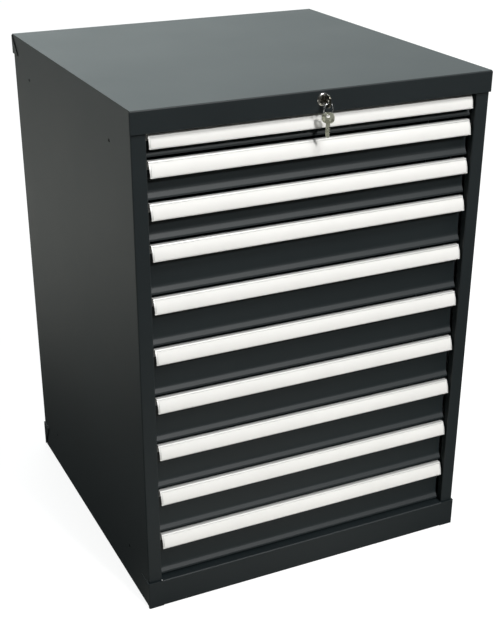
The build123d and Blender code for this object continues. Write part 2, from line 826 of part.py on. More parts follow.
def make_split_ring():
    ring_direction = (cos(radians(ring_turned)), sin(radians(ring_turned)), 0)
    ring_normal = (-sin(radians(ring_turned)), cos(radians(ring_turned)), 0)
    ring_plane = Plane(origin=(0, key_hole_y, ring_centre_z), x_dir=ring_direction, z_dir=(0, 0, 1))
    with BuildPart() as ring:
        with BuildSketch(ring_plane):
            with Locations((ring_radius, 0)):
                Rectangle(ring_wire_radial, ring_wire_axial)
        revolve(axis=Axis(ring_plane.origin, ring_normal), revolution_arc=360)
    save(ring.part, "split_ring")


def make_spare_key():
    """The spare key, hanging from the bottom of the ring."""
    turned = radians(spare_key_turned)
    key_normal = (-sin(turned), cos(turned), 0)
    with BuildPart() as spare:
        with BuildSketch(Plane(origin=(0, key_hole_y, spare_hole_z), x_dir=(0, 0, -1), z_dir=key_normal)):
            key_outline()
        extrude(amount=key_thickness / 2, both=True)
    save(spare.part, "spare_key")


def main():
    os.makedirs("parts", exist_ok=True)
    make_top_cover()
    make_side_panel("left_side_panel", -1)
    make_side_panel("right_side_panel", 1)
    make_back_panel()
    make_floor_panel()
    make_plinth("plinth_front", -1)
    make_plinth("plinth_rear", 1)
    make_slotted_posts()
    make_rails("left_rails", -1)
    make_rails("right_rails", 1)
    for index in range(drawer_count):
        zone = drawer_zones[index]
        front_height = drawer_front_heights[index]
        front_top = zone + front_height - front_top_gap
        drawer = f"drawer_{index + 1:02d}"
        make_tray(f"{drawer}_tray", zone, front_height)
        make_handle(f"{drawer}_handle", front_top)
        make_label_strip(f"{drawer}_label_strip", front_top)
        make_middle_members(f"{drawer}_middle_slides", zone)
    make_lock_housing()
    make_lock_plug()
    make_lock_shaft()
    make_shaft_bracket()
    make_lock_crank()
    make_lock_bar()
    make_lock_bar_guides()
    make_key()
    make_split_ring()
    make_spare_key()


main()
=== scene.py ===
from math import acos, cos, pi, radians, sin, sqrt, tan

import bmesh
import bpy
from mathutils import Matrix, Vector


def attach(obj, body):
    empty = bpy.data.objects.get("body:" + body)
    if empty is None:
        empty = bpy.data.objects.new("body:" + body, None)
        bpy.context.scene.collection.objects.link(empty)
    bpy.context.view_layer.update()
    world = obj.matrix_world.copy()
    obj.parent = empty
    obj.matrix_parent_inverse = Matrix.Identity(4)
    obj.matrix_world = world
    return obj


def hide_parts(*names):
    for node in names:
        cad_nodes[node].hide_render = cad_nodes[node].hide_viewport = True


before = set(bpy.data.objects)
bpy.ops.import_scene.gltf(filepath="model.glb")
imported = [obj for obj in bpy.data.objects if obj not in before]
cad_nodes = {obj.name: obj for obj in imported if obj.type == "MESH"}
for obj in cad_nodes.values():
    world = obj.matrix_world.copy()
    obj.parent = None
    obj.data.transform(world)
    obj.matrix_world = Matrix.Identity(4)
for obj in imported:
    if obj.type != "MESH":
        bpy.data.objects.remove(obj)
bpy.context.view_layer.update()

MM = 0.001

# Sizes of the cabinet in millimetres, the same as the solids have
front_heights = [50, 75, 75, 100, 100, 100, 100, 100, 100, 100]
drawers_top = 960.0
face_y = 360.0               # fascia at -y, rear flanges at +y
tab_outer = 357.5
column_inner = 327.5
housing_sheet = 1.5
plinth_height = 60.0
plinth_top_flange = 24.0
plinth_floor_flange = 40.0
tab_length = 40.0            # mitred corner tab at its wide end
tab_tip = 4.0                # and at its narrow end
drawer_front = -338.0
front_half = 324.0
front_gap = 1.5              # between a front and the zone above it
drawer_sheet = 1.2
tray_half = 307.8
tray_front = -336.8
tray_rear = 276.2
hem_width = 6.0              # folded rim of a tray wall
divider_pitch = 102.0
divider_slot = 3.0
slide_front = -328.0
slide_level = 25.0           # middle of the slides above the zone's bottom
slide_sheet = 1.5
inner_member = (321.0, 9.25, 600.0)     # flange edge x, half height, length
middle_member = (310.8, 14.25, 560.0)
middle_web_x = 323.25
ball_pitch = 40.0
handle_half = 322.2
handle_ledge = 8.4           # depth of the ledge on top of a handle
handle_nose = 17.6           # depth of its lower edge
handle_drop = 27.6
handle_wall = 1.8
handle_radius = 45.0
lock_height = 983.0
bezel_radius = 12.0
thread_radius = 9.0
bore_radius = 6.6
key_hole_y = -380.0
key_plate = 2.0
ring_radius = 10.1
ring_top = lock_height - 2.8
ring_bottom = ring_top - 2 * ring_radius
ring_yaw = radians(10)
hook_middle = 8.536
rivet_x = 343.0


# ---------------------------------------------------------------- mesh tools

def rounded_path(corners, bend, closed=False, steps=5):
    """Line through the corners, each turned into an arc; a corner may carry its own radius."""
    places = [Vector(corner[:2]) for corner in corners]
    radii = [corner[2] if len(corner) > 2 else bend for corner in corners]
    count = len(places)
    line = []
    for index, corner in enumerate(places):
        radius = radii[index]
        if radius <= 0 or (not closed and index in (0, count - 1)):
            line.append(corner)
            continue
        back = places[index - 1] - corner
        ahead = places[(index + 1) % count] - corner
        room = 0.48 * min(back.length, ahead.length)
        back.normalize()
        ahead.normalize()
        turn = pi - acos(max(-1.0, min(1.0, back.dot(ahead))))
        if turn < 0.02:
            line.append(corner)
            continue
        tangent = min(radius * tan(turn / 2), room)
        radius = tangent / tan(turn / 2)
        centre = corner + (back + ahead).normalized() * (radius / cos(turn / 2))
        start = corner + back * tangent - centre
        end = corner + ahead * tangent - centre
        ease = min(0.3, room - tangent)
        if ease > 0.02:
            line.append(corner + back * (tangent + ease))
        for step in range(steps + 1):
            share = step / steps
            line.append(centre + (start * sin((1 - share) * turn) + end * sin(share * turn)) / sin(turn))
        if ease > 0.02:
            line.append(corner + ahead * (tangent + ease))
    return line


def side_offsets(line, distance):
    """The line moved sideways by the distance, for one face of a sheet."""
    moved = []
    for index, point in enumerate(line):
        before = line[max(index - 1, 0)]
        after = line[min(index + 1, len(line) - 1)]
        into = (point - before).normalized() if index > 0 else (after - point).normalized()
        out = (after - point).normalized() if index < len(line) - 1 else into
        normal_in = Vector((-into.y, into.x))
        normal_out = Vector((-out.y, out.x))
        middle = normal_in + normal_out
        if middle.length < 1e-6:
            middle = normal_in
        middle.normalize()
        stretch = 1 / max(0.3, middle.dot(normal_in))
        moved.append(point + middle * distance * stretch)
    return moved


def placed(axis, across, up, along):
    """Section point to X, Y, Z in metres; the section lies square to the axis."""
    if axis == "X":
        return Vector((along, across, up)) * MM
    if axis == "Y":
        return Vector((across, along, up)) * MM
    return Vector((across, up, along)) * MM


def add_sheet(bm, line, thickness, axis, stations, kept=None):
    """Bent sheet of real thickness: line is its middle, stations run along the axis."""
    faces_of_sheet = [side_offsets(line, thickness / 2), side_offsets(line, -thickness / 2)]
    grid = []
    for face in faces_of_sheet:
        rows = []
        for station in stations:
            row = []
            for index, point in enumerate(face):
                along = station(line[index]) if callable(station) else station
                row.append(bm.verts.new(placed(axis, point.x, point.y, along)))
            rows.append(row)
        grid.append(rows)
    lengths = len(stations) - 1
    widths = len(line) - 1

    def is_kept(row, column):
        if not (0 <= row < lengths and 0 <= column < widths):
            return False
        if kept is None:
            return True
        middle = (line[column] + line[column + 1]) / 2
        along = (stations[row] + stations[row + 1]) / 2
        return kept(middle, along)

    for row in range(lengths):
        for column in range(widths):
            if not is_kept(row, column):
                continue
            for side in (0, 1):
                a = grid[side][row][column]
                b = grid[side][row][column + 1]
                c = grid[side][row + 1][column + 1]
                d = grid[side][row + 1][column]
                bm.faces.new((a, b, c, d) if side == 0 else (d, c, b, a))
            edges = (
                (row - 1, column, (row, column), (row, column + 1)),
                (row + 1, column, (row + 1, column + 1), (row + 1, column)),
                (row, column - 1, (row + 1, column), (row, column)),
                (row, column + 1, (row, column + 1), (row + 1, column + 1)),
            )
            for next_row, next_column, first, second in edges:
                if is_kept(next_row, next_column):
                    continue
                a = grid[0][first[0]][first[1]]
                b = grid[0][second[0]][second[1]]
                c = grid[1][second[0]][second[1]]
                d = grid[1][first[0]][first[1]]
                bm.faces.new((d, c, b, a))
    loose = [vert for vert in bm.verts if not vert.link_faces]
    bmesh.ops.delete(bm, geom=loose, context="VERTS")


def add_bar(bm, outline, axis, low, high, end_bevel=0.0):
    """Closed section run from low to high, with its end edges eased."""
    rings = []
    for along in (low, high):
        rings.append([bm.verts.new(placed(axis, point[0], point[1], along)) for point in outline])
    count = len(outline)
    for index in range(count):
        following = (index + 1) % count
        bm.faces.new((rings[0][index], rings[0][following], rings[1][following], rings[1][index]))
    caps = [bm.faces.new(list(reversed(rings[0]))), bm.faces.new(rings[1])]
    if end_bevel:
        rim = [edge for cap in caps for edge in cap.edges]
        bmesh.ops.bevel(bm, geom=rim, offset=end_bevel * MM, segments=2, profile=0.5, affect="EDGES")


def add_turned(bm, profile, centre, segments=48):
    """Shape turned about a line along Y through the centre; profile is (radius, y)."""
    rings = []
    for radius, y in profile:
        if radius < 1e-6:
            rings.append([bm.verts.new(Vector((centre[0], y, centre[1])) * MM)])
            continue
        ring = []
        for step in range(segments):
            angle = 2 * pi * step / segments
            ring.append(
                bm.verts.new(
                    Vector((centre[0] + radius * cos(angle), y, centre[1] + radius * sin(angle))) * MM
                )
            )
        rings.append(ring)
    for first, second in zip(rings, rings[1:]):
        for step in range(segments):
            following = (step + 1) % segments
            corners = []
            for vert in (
                first[step % len(first)],
                first[following % len(first)],
                second[following % len(second)],
                second[step % len(second)],
            ):
                if vert not in corners:
                    corners.append(vert)
            bm.faces.new(corners)


def add_ball(bm, centre, diameter):
    """Small ball of a slide's ball track."""
    place = Matrix.Translation(Vector(centre) * MM)
    bmesh.ops.create_uvsphere(bm, u_segments=10, v_segments=6, radius=diameter / 2 * MM, matrix=place)


def add_block(bm, low, high, ease=0.4):
    """Block between two corners with its edges eased."""
    low = Vector(low)
    high = Vector(high)
    place = Matrix.Translation((low + high) / 2 * MM)
    size = Matrix.Diagonal(((high - low) * MM).to_4d())
    made = bmesh.ops.create_cube(bm, size=1.0, matrix=place @ size)
    edges = list({edge for vert in made["verts"] for edge in vert.link_edges})
    bmesh.ops.bevel(bm, geom=edges, offset=ease * MM, segments=2, profile=0.5, affect="EDGES")


def finished(name, bm, material, body, replaced=(), sharp=32.0):
    """Turns the mesh into a piece that rides on its body."""
    bmesh.ops.recalc_face_normals(bm, faces=bm.faces)
    mesh = bpy.data.meshes.new(name)
    bm.to_mesh(mesh)
    bm.free()
    mesh.polygons.foreach_set("use_smooth", [True] * len(mesh.polygons))
    mesh.set_sharp_from_angle(angle=radians(sharp))
    mesh.materials.append(material)
    piece = bpy.data.objects.new(name, mesh)
    bpy.context.scene.collection.objects.link(piece)
    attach(piece, body)
    if replaced:
        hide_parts(*replaced)


# ---------------------------------------------------------------- finishes

def add_node(tree, kind, sockets=None, **settings):
    """New node with its settings; a socket takes a value or a link."""
    made = tree.nodes.new(kind)
    for name, value in settings.items():
        setattr(made, name, value)
    for name, value in (sockets or {}).items():
        if isinstance(value, bpy.types.NodeSocket):
            tree.links.new(value, made.inputs[name])
        else:
            made.inputs[name].default_value = value
    return made


def new_group(name, inputs, outputs):
    """Empty node group with named float, colour or vector sockets."""
    group = bpy.data.node_groups.new(name, "ShaderNodeTree")
    kinds = {"f": "NodeSocketFloat", "c": "NodeSocketColor", "v": "NodeSocketVector"}
    for label, kind, value in inputs:
        socket = group.interface.new_socket(name=label, in_out="INPUT", socket_type=kinds[kind])
        if value is not None:
            socket.default_value = value
    for label, kind in outputs:
        group.interface.new_socket(name=label, in_out="OUTPUT", socket_type=kinds[kind])
    start = group.nodes.new("NodeGroupInput")
    end = group.nodes.new("NodeGroupOutput")
    return group, start.outputs, end.inputs


def make_paint_grain():
    """Fine orange peel of a powder coat, with a slow drift in tone."""
    group, given, result = new_group(
        "powder_coat_grain",
        [("Vector", "v", None), ("Grain Scale", "f", 900.0), ("Drift Scale", "f", 3.0)],
        [("Height", "f"), ("Tone", "f")],
    )
    fine = add_node(
        group, "ShaderNodeTexNoise",
        {"Vector": given["Vector"], "Scale": given["Grain Scale"], "Detail": 3.0, "Roughness": 0.55},
    )
    pits = add_node(
        group, "ShaderNodeTexVoronoi",
        {"Vector": given["Vector"], "Scale": given["Grain Scale"]},
        feature="SMOOTH_F1",
    )
    mixed = add_node(
        group, "ShaderNodeMix",
        {"Factor": 0.4, "A": fine.outputs["Fac"], "B": pits.outputs["Distance"]},
    )
    drift = add_node(
        group, "ShaderNodeTexNoise",
        {"Vector": given["Vector"], "Scale": given["Drift Scale"], "Detail": 4.0, "Roughness": 0.6},
    )
    group.links.new(mixed.outputs["Result"], result["Height"])
    group.links.new(drift.outputs["Fac"], result["Tone"])
    return group


def make_brushed_lines():
    """Fine drawn lines along X with broad streaks."""
    group, given, result = new_group(
        "drawn_lines",
        [("Vector", "v", None), ("Line Scale", "f", 1.0)],
        [("Height", "f"), ("Tone", "f")],
    )
    stretched = add_node(
        group, "ShaderNodeMapping", {"Vector": given["Vector"], "Scale": (6.0, 900.0, 900.0)}
    )
    lines = add_node(
        group, "ShaderNodeTexNoise",
        {
            "Vector": stretched.outputs["Vector"], "Scale": given["Line Scale"],
            "Detail": 4.0, "Roughness": 0.7,
        },
    )
    broad = add_node(
        group, "ShaderNodeMapping", {"Vector": given["Vector"], "Scale": (1.5, 60.0, 60.0)}
    )
    streaks = add_node(
        group, "ShaderNodeTexNoise",
        {"Vector": broad.outputs["Vector"], "Scale": given["Line Scale"], "Detail": 2.0},
    )
    group.links.new(lines.outputs["Fac"], result["Height"])
    group.links.new(streaks.outputs["Fac"], result["Tone"])
    return group


def make_toned_colour():
    """Shifts a colour between a darker and a lighter value by a tone."""
    group, given, result = new_group(
        "toned_colour",
        [("Dark", "c", None), ("Light", "c", None), ("Tone", "f", 0.5)],
        [("Colour", "c")],
    )
    spread = add_node(
        group, "ShaderNodeMapRange",
        {"Value": given["Tone"], "From Min": 0.32, "From Max": 0.68, "To Min": 0.0, "To Max": 1.0},
    )
    mixed = add_node(group, "ShaderNodeMix", data_type="RGBA")
    group.links.new(spread.outputs["Result"], mixed.inputs[0])
    group.links.new(given["Dark"], mixed.inputs[6])
    group.links.new(given["Light"], mixed.inputs[7])
    group.links.new(mixed.outputs[2], result["Colour"])
    return group


def make_roughness_spread():
    """Roughness that wanders between two values, as handled or wiped surfaces have it."""
    group, given, result = new_group(
        "roughness_spread",
        [("Tone", "f", 0.5), ("Smooth", "f", 0.3), ("Rough", "f", 0.5)],
        [("Roughness", "f")],
    )
    spread = add_node(
        group, "ShaderNodeMapRange",
        {
            "Value": given["Tone"], "From Min": 0.3, "From Max": 0.7,
            "To Min": given["Smooth"], "To Max": given["Rough"],
        },
    )
    group.links.new(spread.outputs["Result"], result["Roughness"])
    return group


paint_grain = make_paint_grain()
drawn_lines = make_brushed_lines()
toned_colour = make_toned_colour()
roughness_spread = make_roughness_spread()


def make_finish(name, dark, light, smooth, rough, texture, scales, bump, bump_distance, **shader_values):
    """Principled material with toned colour, wandering roughness and a bump."""
    material = bpy.data.materials.new(name)
    material.use_nodes = True
    tree = material.node_tree
    tree.nodes.clear()
    where = add_node(tree, "ShaderNodeTexCoord")
    surface = add_node(tree, "ShaderNodeGroup", node_tree=texture)
    tree.links.new(where.outputs["Object"], surface.inputs["Vector"])
    for label, value in scales.items():
        surface.inputs[label].default_value = value
    colour = add_node(tree, "ShaderNodeGroup", node_tree=toned_colour)
    colour.inputs["Dark"].default_value = (*dark, 1.0)
    colour.inputs["Light"].default_value = (*light, 1.0)
    tree.links.new(surface.outputs["Tone"], colour.inputs["Tone"])
    spread = add_node(tree, "ShaderNodeGroup", node_tree=roughness_spread)
    spread.inputs["Smooth"].default_value = smooth
    spread.inputs["Rough"].default_value = rough
    tree.links.new(surface.outputs["Tone"], spread.inputs["Tone"])
    relief = add_node(
        tree, "ShaderNodeBump",
        {"Strength": bump, "Distance": bump_distance, "Height": surface.outputs["Height"]},
    )
    shader = add_node(
        tree, "ShaderNodeBsdfPrincipled",
        {
            "Base Color": colour.outputs["Colour"],
            "Roughness": spread.outputs["Roughness"],
            "Normal": relief.outputs["Normal"],
        },
    )
    for label, value in shader_values.items():
        shader.inputs[label.replace("_", " ")].default_value = value
    out = add_node(tree, "ShaderNodeOutputMaterial")
    tree.links.new(shader.outputs["BSDF"], out.inputs["Surface"])
    return material


anthracite = make_finish(
    "anthracite_powder_coat", (0.0052, 0.0098, 0.0116), (0.0066, 0.0120, 0.0140), 0.54, 0.58,
    paint_grain, {"Grain Scale": 1100.0, "Drift Scale": 3.0}, 0.2, 0.0003,
)
anodised = make_finish(
    "anodised_handle", (0.70, 0.70, 0.68), (0.78, 0.78, 0.76), 0.50, 0.60,
    drawn_lines, {"Line Scale": 1.0}, 0.08, 0.0003, Metallic=0.35,
)
label_card = make_finish(
    "label_card", (0.88, 0.87, 0.84), (0.92, 0.91, 0.88), 0.55, 0.66,
    paint_grain, {"Grain Scale": 300.0, "Drift Scale": 9.0}, 0.04, 0.0002,
)
zinc = make_finish(
    "zinc_plated_steel", (0.50, 0.53, 0.55), (0.66, 0.67, 0.67), 0.28, 0.46,
    paint_grain, {"Grain Scale": 260.0, "Drift Scale": 24.0}, 0.08, 0.0003, Metallic=1.0,
)
chrome = make_finish(
    "polished_chrome", (0.62, 0.61, 0.58), (0.72, 0.71, 0.68), 0.16, 0.26,
    paint_grain, {"Grain Scale": 500.0, "Drift Scale": 60.0}, 0.02, 0.0001, Metallic=1.0,
)
nickel = make_finish(
    "nickel_plated_plug", (0.34, 0.33, 0.30), (0.46, 0.45, 0.41), 0.24, 0.34,
    paint_grain, {"Grain Scale": 700.0, "Drift Scale": 90.0}, 0.04, 0.0001, Metallic=1.0,
)
key_silver = make_finish(
    "bright_nickel_silver", (0.42, 0.43, 0.33), (0.66, 0.67, 0.55), 0.22, 0.36,
    paint_grain, {"Grain Scale": 900.0, "Drift Scale": 110.0}, 0.06, 0.0001, Metallic=0.6,
)
# Same nickel silver as the hanging key, painted much darker: painted shade for the key in the lock
shaded_key_silver = make_finish(
    "nickel_silver_painted_shade", (0.13, 0.125, 0.10), (0.30, 0.29, 0.24), 0.18, 0.30,
    paint_grain, {"Grain Scale": 900.0, "Drift Scale": 110.0}, 0.06, 0.0001, Metallic=1.0,
)
ring_steel = make_finish(
    "nickel_plated_spring_steel", (0.62, 0.63, 0.64), (0.74, 0.75, 0.76), 0.14, 0.26,
    paint_grain, {"Grain Scale": 700.0, "Drift Scale": 80.0}, 0.03, 0.0001, Metallic=1.0,
)
ball_steel = make_finish(
    "bearing_balls", (0.60, 0.60, 0.62), (0.70, 0.70, 0.72), 0.08, 0.16,
    paint_grain, {"Grain Scale": 400.0, "Drift Scale": 60.0}, 0.02, 0.0001, Metallic=1.0,
)
black_nylon = make_finish(
    "black_nylon", (0.018, 0.018, 0.019), (0.030, 0.030, 0.032), 0.45, 0.62,
    paint_grain, {"Grain Scale": 500.0, "Drift Scale": 30.0}, 0.10, 0.0002,
)

cad_finishes = {
    anthracite: ["top_cover", "left_side_panel", "right_side_panel", "back_panel", "floor_panel"],
    zinc: [
        "slotted_posts", "left_rails", "right_rails",
        "lock_shaft", "lock_shaft_bracket", "lock_crank", "lock_bar",
    ],
    nickel: ["lock_plug"],
    black_nylon: ["lock_bar_guides"],
}
for material, names in cad_finishes.items():
    for name in names:
        mesh = cad_nodes[name].data
        mesh.materials.clear()
        mesh.materials.append(material)


# ---------------------------------------------------------------- drawers

def make_drawer(number, zone, height):
    """Folded front with its lip, the tray behind it, its slide members and its catch."""
    body = f"drawer_{number:02d}"
    top = zone + height - front_gap
    lip_end = zone + 7.5
    lip_start = lip_end + 9.0
    floor_z = zone + 7.0
    wall_top = zone + height - 8.0
    middle = drawer_sheet / 2
    bm = bmesh.new()

    # Front: top fold, face and kicked-out lip
    front_line = rounded_path(
        [
            (drawer_front + 4.0, top - middle),
            (drawer_front + middle, top - middle, 1.3),
            (drawer_front + middle, lip_start + 10.0, 0),
            (drawer_front + middle, lip_end + 13.6, 22.0),
            (drawer_front - 0.3, lip_end + 8.8, 9.0),
            (drawer_front - 5.2, lip_end + 1.4, 2.5),
            (drawer_front - 5.7, lip_end - 1.8),
        ],
        1.3,
    )
    face_half = front_half - 2.0
    add_sheet(
        bm, front_line, drawer_sheet, "X", [-front_half, -face_half, face_half, front_half],
        kept=lambda point, along: abs(along) < face_half or point.y < lip_start + 9.9,
    )
    for side in (-1, 1):
        fold = rounded_path(
            [
                (side * face_half, drawer_front + middle),
                (side * (front_half - middle), drawer_front + middle),
                (side * (front_half - middle), drawer_front + 4.0),
            ],
            1.3,
        )
        add_sheet(bm, fold, drawer_sheet, "Z", [lip_start + 10.0, top - 2.0])

    # Tray: hemmed side walls with divider slots, floor, front and rear wall
    slot_low = floor_z + 9.0
    slot_high = wall_top - 9.0
    wall_x = tray_half - middle
    section = rounded_path(
        [
            (-(tray_half - hem_width), wall_top - middle),
            (-wall_x, wall_top - middle),
            (-wall_x, slot_high, 0),
            (-wall_x, slot_low, 0),
            (-wall_x, floor_z + middle),
            (wall_x, floor_z + middle),
            (wall_x, slot_low, 0),
            (wall_x, slot_high, 0),
            (wall_x, wall_top - middle),
            (tray_half - hem_width, wall_top - middle),
        ],
        1.4,
    )
    stations = [tray_front + 1.3]
    centre = (tray_front + tray_rear) / 2
    slots = []
    for index in range(-2, 3):
        start = centre + index * divider_pitch - divider_slot / 2
        slots.append((start, start + divider_slot))
        stations += [start, start + divider_slot]
    stations.append(tray_rear - 1.3)

    def tray_kept(point, along):
        in_slot = any(low < along < high for low, high in slots)
        return not (in_slot and slot_low < point.y < slot_high and abs(point.x) > wall_x - 0.1)

    add_sheet(bm, section, drawer_sheet, "Y", stations, tray_kept)
    for end, inward in ((tray_front, 1), (tray_rear, -1)):
        wall = rounded_path(
            [
                (end + inward * 7.0, wall_top - middle),
                (end + inward * middle, wall_top - middle),
                (end + inward * middle, floor_z + 0.2),
            ],
            1.4,
        )
        add_sheet(bm, wall, drawer_sheet, "X", [-tray_half, tray_half])
    finished(f"{body}_folded_shell", bm, anthracite, body, [f"{body}_tray"])

    # Inner slide members and the catch for the lock bar
    bm = bmesh.new()
    slide_z = zone + slide_level
    flange_x, half_height, length = inner_member
    web_x = tray_half + slide_sheet / 2
    for side in (-1, 1):
        channel = rounded_path(
            [
                (side * flange_x, slide_z + half_height),
                (side * web_x, slide_z + half_height),
                (side * web_x, slide_z - half_height),
                (side * flange_x, slide_z - half_height),
            ],
            1.6,
        )
        add_sheet(bm, channel, slide_sheet, "Y", [slide_front, slide_front + length])
    catch = rounded_path(
        [
            (tray_rear, zone + 11.0),
            (tray_rear + 17.0, zone + 11.0),
            (tray_rear + 17.0, zone + 26.0),
        ],
        2.0,
    )
    add_sheet(bm, catch, 2.0, "X", [hook_middle - 7.0, hook_middle + 7.0])
    finished(f"{body}_inner_slides", bm, zinc, body)


def make_middle_slides(number, zone):
    """Pair of middle members with their ball cages and balls."""
    name = f"drawer_{number:02d}"
    slides = f"slides_{number:02d}"
    slide_z = zone + slide_level
    flange_x, half_height, length = middle_member
    cage_front = slide_front + 20.0
    cage_rear = slide_front + length - 20.0
    members = bmesh.new()
    cages = bmesh.new()
    balls = bmesh.new()
    for side in (-1, 1):
        channel = rounded_path(
            [
                (side * flange_x, slide_z + half_height),
                (side * middle_web_x, slide_z + half_height),
                (side * middle_web_x, slide_z - half_height),
                (side * flange_x, slide_z - half_height),
            ],
            1.8,
        )
        add_sheet(members, channel, slide_sheet, "Y", [slide_front, slide_front + length])
        for up in (-1, 1):
            # Outer and inner ball rows: their x and the gap they run in, from the slide's middle
            for x, low, high in ((320.0, 15.0, 18.2), (314.4, 10.3, 13.5)):
                middle_z = slide_z + up * (low + high) / 2
                add_block(
                    cages,
                    (side * x - 1.1, cage_front, middle_z - 0.5),
                    (side * x + 1.1, cage_rear, middle_z + 0.5),
                    0.2,
                )
                for step in range(13):
                    y = cage_front + 10.0 + step * ball_pitch
                    add_ball(balls, (side * x, y, middle_z), high - low - 0.1)
    finished(
        f"{name}_middle_members", members, zinc, slides,
        [f"{name}_middle_slides"],
    )
    finished(f"{name}_ball_cages", cages, black_nylon, slides)
    finished(f"{name}_bearing_balls", balls, ball_steel, slides, sharp=80.0)


def handle_outline(top):
    """Sections of the handle profile (ledge, label channel, nose, back leg) and of its label."""
    floor_of_channel = handle_radius - 0.8
    inner_face = handle_radius - handle_wall
    start = Vector((drawer_front - handle_ledge, top))
    end = Vector((drawer_front - handle_nose, top - handle_drop))
    half = (end - start) / 2
    reach = sqrt(handle_radius**2 - half.length**2)
    centre = start + half + Vector((-half.y, half.x)).normalized() * reach

    def on_arc(arc_radius, z, bend=0):
        return (centre.x - sqrt(arc_radius**2 - (z - centre.y) ** 2), z, bend)

    def arc_between(arc_radius, z_from, z_to, count):
        rise = (z_to - z_from) / count
        return [on_arc(arc_radius, z_from + rise * step) for step in range(count + 1)]

    corners = [
        # Ledge, rib, groove above the label and label channel
        (drawer_front, top - 0.02),
        (drawer_front - handle_ledge, top, 0.4),
        on_arc(handle_radius, top - 2.3, 0.25),
        on_arc(handle_radius - 1.3, top - 2.4, 0.1),
        on_arc(handle_radius - 1.3, top - 3.5, 0.1),
        on_arc(floor_of_channel, top - 3.5, 0.1),
        *arc_between(floor_of_channel, top - 4.0, top - 24.8, 9),
        on_arc(floor_of_channel, top - 25.9, 0.15),
        on_arc(handle_radius, top - 25.9, 0.25),
        # Nose and the hook behind it
        (drawer_front - handle_nose, top - handle_drop, 0.9),
        (drawer_front - 13.0, top - handle_drop, 0.8),
        (drawer_front - 13.0, top - 25.8, 0.5),
        # Inner face and back leg
        on_arc(inner_face, top - 25.8, 0.6),
        *arc_between(inner_face, top - 24.6, top - 3.4, 8),
        on_arc(inner_face, top - handle_wall, 0.8),
        (drawer_front - handle_wall, top - handle_wall, 0.8),
        (drawer_front - handle_wall, top - 16.0, 0.4),
        (drawer_front, top - 16.0, 0.4),
    ]
    label_top = top - 3.55
    label_bottom = top - 25.2
    label = arc_between(handle_radius - 0.15, label_top, label_bottom, 10)
    label += arc_between(handle_radius - 0.75, label_bottom, label_top, 10)
    profile = rounded_path(corners, 0.3, closed=True, steps=3)
    return profile, [Vector(point[:2]) for point in label]


def make_handle(number, top):
    """Handle profile with the label card in its channel."""
    name = f"drawer_{number:02d}"
    label_half = handle_half - 3.2
    profile, label = handle_outline(top)
    bm = bmesh.new()
    add_bar(bm, profile, "X", -handle_half, handle_half, end_bevel=0.15)
    finished(f"{name}_grip_profile", bm, anodised, name, [f"{name}_handle"])
    bm = bmesh.new()
    add_bar(bm, label, "X", -label_half, label_half, end_bevel=0.08)
    finished(f"{name}_label_card", bm, label_card, name, [f"{name}_label_strip"])


zone_bottom = drawers_top
for number, height in enumerate(front_heights, start=1):
    zone_bottom -= height
    make_drawer(number, zone_bottom, height)
    make_middle_slides(number, zone_bottom)
    make_handle(number, zone_bottom + height - front_gap)


# ---------------------------------------------------------------- plinths

def make_plinth(name, facing):
    """Folded sheet with a top and a floor flange, and a mitred tab round each corner."""
    face = facing * face_y
    inward = -facing
    middle = housing_sheet / 2
    bm = bmesh.new()
    section = rounded_path(
        [
            (face + inward * plinth_top_flange, plinth_height - middle),
            (face + inward * middle, plinth_height - middle),
            (face + inward * middle, middle),
            (face + inward * plinth_floor_flange, middle),
        ],
        1.75,
    )
    flange_half = column_inner - 0.5
    add_sheet(bm, section, housing_sheet, "X", [-flange_half, flange_half])

    def lower_edge(point):
        behind_tip = max(0.0, abs(point.y - face) - tab_tip)
        return plinth_height * behind_tip / (tab_length - tab_tip)

    def upper_edge(point):
        return plinth_height

    for side in (-1, 1):
        tab_x = side * (tab_outer - middle)
        wing = rounded_path(
            [
                (side * flange_half, face + inward * middle),
                (tab_x, face + inward * middle),
                (tab_x, face + inward * tab_tip, 0),
                (tab_x, face + inward * tab_length),
            ],
            1.3,
        )
        add_sheet(bm, wing, housing_sheet, "Z", [lower_edge, upper_edge])
    finished(f"{name}_folded_sheet", bm, anthracite, "cabinet", [name])


make_plinth("plinth_front", -1)
make_plinth("plinth_rear", 1)


# ---------------------------------------------------------------- lock, keys and ring

def make_lock_housing():
    """Threaded barrel with its domed bezel in front of the fascia, and the nut behind it."""
    bm = bmesh.new()
    profile = [(bore_radius, -336.0), (bore_radius, -362.3), (bore_radius + 0.3, -362.8)]
    for step in range(11):
        angle = radians(-20 + 11 * step)
        dome = 7.6 + 4.4 * sin(max(0.0, angle)) + min(0.0, angle)
        profile.append((dome, -face_y - 0.4 - 2.6 * cos(angle)))
    profile += [(bezel_radius, -face_y), (thread_radius, -face_y), (thread_radius, -358.4)]
    for thread in range(14):
        y = -354.2 + thread * 1.25
        profile += [(thread_radius - 0.4, y), (thread_radius, y + 0.6)]
    profile += [(thread_radius, -336.4), (thread_radius - 0.4, -336.0), (bore_radius, -336.0)]
    add_turned(bm, profile, (0.0, lock_height), 64)
    finished("lock_cylinder", bm, chrome, "cabinet", ["lock_housing"])
    nut = bmesh.new()
    nut_radius = 12.0 / cos(radians(30))
    hexagon = []
    for corner in range(6):
        angle = radians(60 * corner)
        hexagon.append((nut_radius * cos(angle), lock_height + nut_radius * sin(angle)))
    add_bar(nut, hexagon, "Y", -358.4, -354.5, 0.5)
    finished("lock_nut", nut, zinc, "cabinet")


